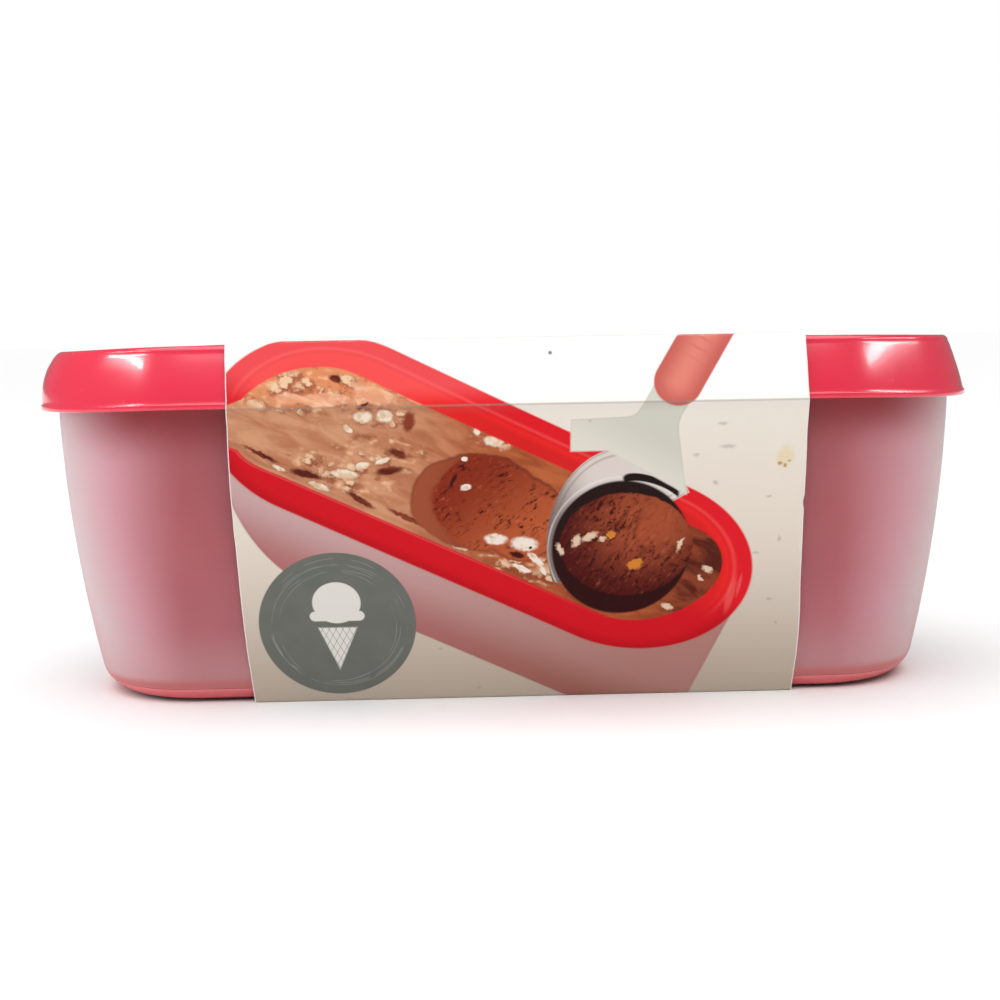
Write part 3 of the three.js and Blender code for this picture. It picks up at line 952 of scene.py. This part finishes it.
def draw_cream(made):
    """Brown ice cream with pale and dark lumps, and a scooped hollow. Returns its outline."""
    x, y = made.x, made.y
    rough = made.warped(5.0, 1.0)
    fine = made.warped(1.4, 0.6, 3.0)
    bowl, aside = made.long_oval((37.29, 48.45), (15.22, 7.58), (-12.99, 12.33), 5.92)
    bowl = bowl.low(made.oval((-62.0, 4.6), (15.5, 8.1)))

    swirl = made.noise(made.stretched(7.0, 2.4, 26), 0.55, 4.0, 0.55, 0.6)
    broad = made.noise(made.stretched(16.0, 7.0, 26), 0.8, 2.0)
    left = made.mix(swirl.ease(0.32, 0.66), tint(182, 118, 85), tint(209, 152, 116))
    right = made.mix(swirl.ease(0.3, 0.7), tint(150, 72, 43), tint(186, 101, 61))
    cream = made.mix((x + broad * 22.0).ease(-31.0, 15.0), left, right)
    shadowed = made.mix(swirl.ease(0.4, 0.6), tint(84, 34, 24), tint(136, 64, 40))
    cream = made.mix(x.ease(34.0, 50.0), cream, shadowed)
    # Painted light: the cream is brighter and more orange above the crease, on the band that faces up.
    cream = made.mix(y.ease(3.0, -6.0) * x.ease(-12.0, -34.0) * 0.75, cream, tint(222, 138, 92))

    crowd = made.ovals([(-52, -4.2, 22, 6.0, 3), (-45, 18.0, 15, 4.6, 20), (-33, 12.5, 12, 4.5, 12),
                        (-34, 2.2, 9, 3.6, 8), (-3, 41.5, 11, 5.5, 28), (8, 47, 8, 4.5, 28),
                        (-6, 9.0, 6, 3.4, 20)])
    crowd = (crowd + swirl * 6.0 - 3.0).inside(1.5)
    lump = made.noise(made.stretched(5.4, 3.2, 20), 0.9, 2.0)
    lit_side = made.noise(made.stretched(5.4, 3.2, 20, 1.0), 0.9, 2.0)
    slope = lump - lit_side
    cream = made.mix(slope.ease(0.03, 0.22) * crowd * 0.7, cream, tint(140, 72, 48))
    cream = made.mix(slope.ease(-0.03, -0.22) * crowd * 0.85, cream, tint(240, 190, 148))
    ragged = made.noise(made.sheet, 0.8, 2.0) * 0.55
    for size, start, below in ((8.0, 0.0, 0.9), (4.4, 5.0, 0.5)):
        chunk = made.cells(made.stretched(size, size * 0.66, 18, start)) + ragged
        shade = made.cells(made.stretched(size, size * 0.66, 18, start + below)) + ragged
        kept = made.noise(made.stretched(size, size, 0, start + 9.0), 0.5, 0.0).ease(0.37, 0.5) * crowd
        cream = made.mix(shade.ease(0.78, 0.56) * kept * 0.7, cream, tint(138, 72, 50))
        cream = made.mix(chunk.ease(0.64, 0.48) * kept * 0.9, cream, tint(238, 200, 162))

    patch = made.ovals([(-50.0, -2.2, 13.0, 1.7, 2), (-35.5, -3.4, 6.0, 2.4, 18),
                        (-23.0, -1.6, 5.0, 1.2, 4)], fine)
    salmon = made.mix(swirl.ease(0.4, 0.62), tint(226, 158, 122), tint(246, 198, 166))
    cream = made.mix((patch + lump * 6.0 - 2.7).inside(0.9) * 0.75, cream, salmon)
    dark = made.ovals([(-26.5, 4.2, 1.5, 2.7, 12), (-29.5, 13.0, 2.6, 1.1, 24), (-32.0, 17.6, 3.4, 1.1, -8),
                       (-65.6, 12.2, 4.6, 0.6, 30), (-54.0, 18.1, 4.2, 1.0, 16), (-40.0, 25.8, 4.4, 0.8, 34),
                       (-38.2, -0.4, 1.6, 0.6, -30), (-45.2, -7.6, 1.6, 1.0, 20),
                       (-28.0, 31.0, 5.0, 0.7, 28)], fine)
    syrup = made.mix(swirl.ease(0.4, 0.6), tint(90, 34, 26), tint(134, 62, 44))
    cream = made.mix(dark.inside(0.6), cream, syrup)
    white = made.ovals([(-38.3, 2.7, 2.5, 1.6, 0), (-32.7, 2.5, 2.1, 1.6, 10), (-42.3, 5.9, 1.4, 0.8, 40),
                        (-8.9, 7.2, 0.8, 1.1, 0), (-4.5, 10.0, 2.5, 1.5, 10), (-39.0, 16.0, 2.0, 1.0, -10),
                        (-33.8, 14.9, 2.0, 0.8, -18), (-44.0, 18.3, 3.4, 1.3, 8),
                        (-50.8, 21.6, 2.8, 0.8, 24), (-61.0, 16.3, 1.8, 0.6, 26),
                        (-22.6, 32.6, 1.0, 3.2, -32), (-13.6, 39.9, 2.3, 0.9, 12)], fine)
    fleck = made.noise(made.sheet, 0.5, 1.0)
    cream = made.mix((white - 0.3).inside(0.6) * 0.5, cream, tint(150, 90, 62))
    nut = made.mix(fleck.ease(0.3, 0.6), tint(222, 186, 150), tint(238, 222, 200))
    cream = made.mix(white.inside(0.35), cream, nut)
    made.lay(bowl.inside(0.3), cream)
    made.lay((bowl + 1.2).size().inside(1.2) * aside.ease(0.2, 0.7) * 0.4, tint(126, 50, 38))
    edge = (bowl - 0.5).size().inside(0.45) * aside.ease(0.1, 0.6) * x.ease(40.0, -20.0)
    made.lay(edge * 0.75, tint(236, 108, 118))

    hollow = made.oval((-9.0, 27.3), (17.8, 13.8), 6, rough)
    hollow = hollow.low(made.oval((3.2, 32.6), (11.0, 12.2), 20, rough))
    rim = made.mix(x.ease(-26.0, 0.0), tint(156, 80, 54), tint(128, 54, 36))
    crumb = made.noise(made.stretched(1.9, 0.9, -35), 0.8, 5.0, 0.68, 0.5)
    pit = made.noise(made.stretched(5.0, 3.0, -35), 0.7, 3.0, 0.6, 0.5)
    deep = made.mix((x + y * 1.4).ease(16.0, 62.0), tint(134, 48, 28), tint(182, 90, 54))
    deep = made.mix(crumb.ease(0.52, 0.62) * pit.ease(0.42, 0.58), deep, tint(74, 24, 18))
    deep = made.mix(crumb.ease(0.42, 0.3) * 0.35, deep, tint(200, 122, 86))
    inner = hollow + 4.8 - x.ease(-21.0, -11.0) * 4.4
    made.lay(bowl.high(hollow).inside(0.35), made.mix(inner.inside(0.9), rim, deep))
    made.lay(bowl.high(hollow.size() - 0.35).inside(0.3) * y.ease(40.0, 20.0) * 0.5, tint(104, 48, 34))
    bits = made.ovals([(-4.2, 37.9, 3.0, 1.6, 6), (-12.0, 22.8, 1.5, 0.8, -10), (-12.2, 14.7, 0.9, 0.5, 0),
                       (3.4, 39.4, 3.6, 2.0, 6), (6.4, 44.0, 2.8, 0.9, 44), (2.6, 46.6, 2.8, 0.7, 24),
                       (8.4, 47.4, 1.6, 0.6, 60)], fine)
    crust = made.mix(fleck.ease(0.25, 0.5), tint(214, 180, 152), tint(238, 226, 212))
    made.lay(bowl.high(bits).inside(0.35), crust)
    spots = made.ovals([(-15.4, 20.8, 0.6, 2.2, 24), (5.0, 40.6, 0.5, 0.4, 10),
                        (1.4, 42.6, 2.2, 0.8, 14)], fine)
    made.lay(bowl.high(spots).inside(0.35), tint(66, 22, 18))
    return bowl


def draw_scoop(made, bowl):
    """Ball of ice cream in the round scoop, with the scoop's pale head and coral grip."""
    x, y = made.x, made.y
    rough = made.warped(2.6, 0.6, 3.0)
    cave = made.oval((29.6, 41.2), (18.8, 19.5))
    strip = (x - 15.0).high(y - 51.0)
    upper = made.beside((50.0, 24.0), (9.0, 47.0)) * -1.0
    steel = made.oval((30.0, 40.0), (20.6, 27.6)).high(upper.low(strip))
    metal = made.mix((x - y * 0.3).ease(1.0, 16.0), tint(128, 114, 108), tint(217, 207, 200))
    metal = made.mix((steel + 1.7).size().inside(0.55), metal, tint(120, 108, 104))
    metal = made.mix((cave - 1.1).size().inside(0.5), metal, tint(240, 238, 236))
    made.lay(steel.inside(0.25), metal)
    made.lay((steel + 0.35).size().inside(0.3), tint(96, 70, 66))
    shadow = made.oval((37.2, 23.4), (8.0, 2.7), 20).high(made.oval((37.6, 26.4), (8.6, 3.4), 22) * -1.0)
    made.lay(shadow.inside(0.3), tint(34, 20, 20))
    inside = bowl.low(y - 38.0)
    depth = made.mix(y.ease(28.0, 60.0), tint(38, 22, 20), tint(50, 10, 12))
    made.lay(inside.high(cave).inside(0.4), depth)

    ball = made.oval((31.0, 40.2), (18.0, 14.9), 4, rough)
    gain = made.vectors("LENGTH", made.placed((37.0, 33.5), (22.0, 19.0), -14), output=1)
    skin = made.mix(gain.ease(0.12, 1.15), tint(162, 78, 50), tint(80, 20, 20))
    seam = made.noise(made.stretched(6.5, 2.6, -58), 0.75, 4.0, 0.6, 0.6)
    crack = made.noise(made.stretched(1.9, 0.9, -52), 0.85, 5.0, 0.66, 0.5)
    calm = x.ease(28.0, 40.0) * y.ease(46.0, 36.0)
    skin = made.mix(seam.ease(0.5, 0.64) * (1 - calm) * 0.75, skin, tint(94, 32, 24))
    skin = made.mix(crack.ease(0.5, 0.6) * seam.ease(0.38, 0.52) * (1 - calm * 0.8), skin, tint(62, 18, 14))
    skin = made.mix(crack.ease(0.42, 0.3) * 0.25, skin, tint(200, 124, 86))
    made.lay(ball.inside(0.35), skin)
    fine = made.warped(1.3, 1.1, 4.0)
    white = made.ovals([(12.9, 41.0, 1.8, 0.8, 70), (17.4, 38.8, 1.0, 1.8, 20), (21.0, 37.6, 2.4, 1.0, -30),
                        (45.6, 40.4, 0.6, 2.0, 20), (53.4, 48.0, 1.6, 0.8, 30), (51.5, 50.5, 1.0, 0.5, 60),
                        (42.6, 59.0, 1.6, 0.7, 20), (24.4, 38.4, 1.0, 0.6, 0)], fine)
    made.lay(white.inside(0.4), tint(222, 192, 164))
    nuts = made.ovals([(26.8, 37.3, 1.3, 1.0, 0), (33.5, 46.0, 2.0, 1.5, -20)], fine)
    made.lay(nuts.inside(0.35), tint(206, 128, 52))

    flat = made.beside((15.6, 13.3), (25.0, 13.3))
    slant = made.beside((25.2, 13.3), (44.8, 24.9))
    head = flat.low(slant).high(made.beside((26.9, 4.0), (15.6, 4.4)))
    head = head.high(made.beside((15.6, 4.0), (15.6, 16.0))).high(made.beside((46.4, 24.0), (43.4, 4.0)))
    neck = made.rod((35.5, 9.0), (42.5, -3.0), 5.2)
    head = head.maths("SMOOTH_MIN", neck, 3.0)
    across = made.beside((20.0, 4.0), (44.0, 18.0))
    pale = made.mix(across.ease(-6.0, 8.0), tint(206, 204, 192), tint(222, 218, 206))
    made.lay(head.inside(0.3), pale)
    made.lay((head + 0.2).size().inside(0.3) * 0.35, tint(150, 140, 132))
    grip_foot = (43.8, -5.2)
    grip_end = (57.0, -27.0)
    grip = made.rod(grip_foot, grip_end, 6.4)
    ribs = made.beside(grip_foot, grip_end).size().inside(5.0)
    up_grip = made.beside((57.0, -5.2), (35.2, -18.4))
    grooves = (up_grip * 2.1).wave().ease(0.55, 0.95) * up_grip.ease(-2.0, 4.0) * ribs
    coral = made.mix(grip.ease(-6.4, 0.0), tint(222, 128, 114), tint(196, 96, 88))
    made.lay(grip.inside(0.3), made.mix(grooves * 0.55, coral, tint(168, 76, 72)))


def draw_label(made):
    """Round slate label with scribbled rings and a plain cone with one scoop."""
    centre = (-48.05, 62.4)
    disc = made.oval(centre, (21.56, 21.56))
    cloud = made.noise(made.sheet, 0.12, 2.0)
    slate = made.mix(cloud.ease(0.3, 0.7), tint(104, 107, 101), tint(109, 111, 105))
    strokes = made.noise(made.sheet, 0.16, 1.0)
    scribbles = ((0.6, 0.4, 18.6, 0.42), (-0.5, -0.3, 17.9, 0.5), (0.3, -0.9, 19.1, 0.54),
                 (-0.8, 0.7, 16.9, 0.56), (1.2, 1.0, 17.4, 0.5))
    for shift_x, shift_y, radius, start in scribbles:
        ring = made.oval((centre[0] + shift_x, centre[1] + shift_y), (radius, radius * 0.99))
        drawn = (strokes + radius * 0.013 - 0.23).ease(start - 0.06, start + 0.06)
        line = (ring.size() - 0.02).inside(0.16) * drawn
        slate = made.mix(line * 0.55, slate, tint(186, 190, 186))
    x, y = centre
    scoop = made.oval((x, y - 6.6), (6.6, 6.2)).low(made.rod((x - 6.0, y - 2.6), (x + 6.0, y - 2.6), 1.5))
    tip = (x, y + 14.6)
    cone = made.beside((x - 5.8, y + 0.6), (x + 5.8, y + 0.6)) * -1.0
    cone = cone.high(made.beside(tip, (x + 5.8, y + 0.6))).high(made.beside((x - 5.8, y + 0.6), tip))
    weave = made.beside((0, 0), (1.0, 1.9)) * 1.9
    other = made.beside((0, 0), (-1.0, 1.9)) * 1.9
    lines = weave.wave().size().ease(0.16, 0.08).high(other.wave().size().ease(0.16, 0.08))
    slate = made.mix(scoop.inside(0.2), slate, tint(222, 220, 212))
    slate = made.mix((cone + 0.3).inside(0.3) * (1 - lines * 0.8), slate, tint(222, 220, 212))
    made.lay(disc.inside(0.2), slate)


def draw_wear_and_crease_shade(made):
    """Painted shade along the crease under the lid, worn fold lines, and on the front a yellowed stain,
    specks and faint smears.
    """
    y = made.y
    fine = made.warped(1.0, 0.5, 3.0)
    chips = made.noise(made.stretched(3.0, 0.8), 1.2, 4.0, 0.7)
    # Painted shade: a dark line along the crease and a faint shadow just below it.
    made.lay((y.size() - 0.25).inside(0.25) * 0.55, tint(146, 130, 120))
    made.lay(y.ease(0.0, 0.5) * y.ease(3.0, 0.5) * 0.12, tint(120, 104, 96))
    made.lay(y.size().inside(0.3) * chips.ease(0.58, 0.64) * 0.8, tint(236, 230, 222))
    for fold in (TOP_FOLD_ROW, FOOT_FOLD_ROW):
        made.lay((y - fold).size().inside(0.4) * chips.ease(0.46, 0.6) * 0.7, tint(240, 236, 228))
    _, across, _ = made.axes(made.place())
    front = across.ease(0.001, -0.001)
    stain = made.oval((72.5, 15.8), (2.1, 2.9), 8, fine)
    made.lay(stain.inside(1.1) * front * 0.5, tint(226, 200, 140))
    grime = made.ovals([(71.2, 17.6, 0.6, 0.4, 0), (72.6, 18.2, 0.4, 0.6, 0),
                        (73.6, 17.0, 0.4, 0.3, 0)], fine)
    made.lay(grime.inside(0.25) * front * 0.7, tint(150, 112, 58))
    made.lay(made.oval((10.6, -13.6), (0.5, 0.5)).inside(0.2) * front * 0.8, tint(70, 66, 64))
    smears = made.ovals([(55.5, 6.2, 1.2, 0.4, 0), (57.1, 12.6, 1.8, 0.5, 0), (48.9, 14.8, 0.8, 0.5, 0),
                         (68.9, 26.9, 0.8, 0.4, 0), (54.4, 22.8, 0.7, 0.5, 30), (66.4, 43.4, 0.9, 0.4, 0),
                         (72.4, 39.3, 0.4, 0.9, 0), (70.9, 57.4, 0.8, 0.4, 0), (73.0, 64.5, 0.5, 0.4, 0),
                         (20.6, 4.9, 0.35, 0.35, 0), (-9.5, 83.0, 0.6, 0.4, 0),
                         (-20.0, 70.5, 0.5, 0.4, 0)], fine)
    made.lay(smears.inside(0.35) * front * 0.35, tint(132, 120, 102))


def floor_finish():
    """Plain pale floor, no part of the object."""
    made = Finish("floor_paint")
    return made.surface(Base_Color=(0.92, 0.92, 0.92), Roughness=0.7, Specular_IOR_Level=0.2)


# Light, floor and camera

def softbox(name, direction, distance, width, height, power, mirrored, colour=(1, 1, 1), roll=0.0):
    """A rectangular lamp aimed at the tub, either seen as a reflection or lighting it softly.

    Its distance and size are in metres, and roll turns it in its own plane, in degrees.
    """
    light = bpy.data.lights.new(name, "AREA")
    light.shape = "RECTANGLE"
    light.size = width
    light.size_y = height
    light.energy = power
    light.color = colour
    lamp = bpy.data.objects.new(name, light)
    aim = Vector(direction).normalized()
    lamp.location = LAMP_AIM * MM + aim * distance
    lamp.visible_glossy = mirrored
    lamp.visible_diffuse = not mirrored
    turn = aim.to_track_quat("Z", "Y") @ Quaternion((0, 0, 1), math.radians(roll))
    lamp.rotation_euler = turn.to_euler()
    bpy.context.scene.collection.objects.link(lamp)


def make_studio():
    """White backdrop, a pale floor, a broad lamp overhead and four lamps at the sides."""
    scene = bpy.context.scene
    scene.view_settings.view_transform = "Standard"
    world = bpy.data.worlds.new("studio")
    world.use_nodes = True
    tree = world.node_tree
    backdrop = tree.nodes["Background"]
    backdrop.inputs["Color"].default_value = (1, 1, 1, 1)
    backdrop.inputs["Strength"].default_value = 1.0
    room = tree.nodes.new("ShaderNodeBackground")
    room.inputs["Strength"].default_value = 0.25
    seen = tree.nodes.new("ShaderNodeMixShader")
    tree.links.new(tree.nodes.new("ShaderNodeLightPath").outputs["Is Camera Ray"], seen.inputs[0])
    tree.links.new(room.outputs[0], seen.inputs[1])
    tree.links.new(backdrop.outputs[0], seen.inputs[2])
    tree.links.new(seen.outputs[0], tree.nodes["World Output"].inputs[0])
    scene.world = world
    half = 30.0
    mesh = bpy.data.meshes.new("floor")
    corners = [(-half, -half, 0), (half, -half, 0), (half, half, 0), (-half, half, 0)]
    mesh.from_pydata(corners, [], [(0, 1, 2, 3)])
    mesh.materials.append(floor_finish())
    floor = bpy.data.objects.new("floor", mesh)
    scene.collection.objects.link(floor)
    overhead = bpy.data.lights.new("overhead", "SUN")
    overhead.energy = 3.03
    overhead.angle = math.radians(75)
    lamp = bpy.data.objects.new("overhead", overhead)
    lamp.rotation_euler = (math.radians(12), 0, 0)
    scene.collection.objects.link(lamp)
    softbox("left_glint", (-0.766, -0.341, 0.60), 1.1, 0.5, 0.036, 3.0, mirrored=True)
    softbox("right_glint", (0.82, -0.23, 0.525), 1.1, 0.82, 0.075, 4.8, mirrored=True, roll=-9.0)
    cool = (0.93, 0.95, 1.0)
    warm = (1.0, 0.88, 0.82)
    softbox("left_window", (-1.0, -0.15, 0.3), 1.2, 1.0, 0.8, 6.0, mirrored=False, colour=cool)
    softbox("right_window", (0.85, -0.75, 0.3), 1.2, 1.0, 0.8, 1.0, mirrored=False, colour=warm)


def make_camera():
    """The view of the photograph, from in front and a little above the lid."""
    level = math.cos(CAMERA_PITCH)
    ahead = Vector((math.sin(CAMERA_YAW) * level, math.cos(CAMERA_YAW) * level, -math.sin(CAMERA_PITCH)))
    side = Vector((math.cos(CAMERA_YAW), -math.sin(CAMERA_YAW), 0))
    above = side.cross(ahead)
    turned_side = math.cos(CAMERA_ROLL) * side - math.sin(CAMERA_ROLL) * above
    turned_above = math.sin(CAMERA_ROLL) * side + math.cos(CAMERA_ROLL) * above
    data = bpy.data.cameras.new("camera")
    data.lens = CAMERA_LENS
    data.sensor_width = 36.0
    data.clip_start = 0.01
    camera = bpy.data.objects.new("camera", data)
    turn = Matrix((turned_side, turned_above, -ahead)).transposed()
    camera.matrix_world = Matrix.Translation(CAMERA_PLACE * MM) @ turn.to_4x4()
    bpy.context.scene.collection.objects.link(camera)
    bpy.context.scene.camera = camera


make_camera()
make_studio()

printed = print_finish()
plain = card_finish("plain_card", (0.62, 0.58, 0.52))
raw = card_finish("raw_card", (0.86, 0.83, 0.78))
pieces = (
    (shell_piece(frosted_finish()), "outer_shell", "frosted_plastic"),
    (core_piece(cup_finish()), "inner_tub", "tub_plastic"),
    (lid_piece(lid_finish()), "lid", "lid_plastic"),
    (base_piece(pad_finish()), "base_pad", "base_rubber"),
    (sleeve_piece(printed, plain, raw), "sleeve", "sleeve_paper"),
)
for piece, node, slot in pieces:
    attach(piece, "root")
    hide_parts(node)
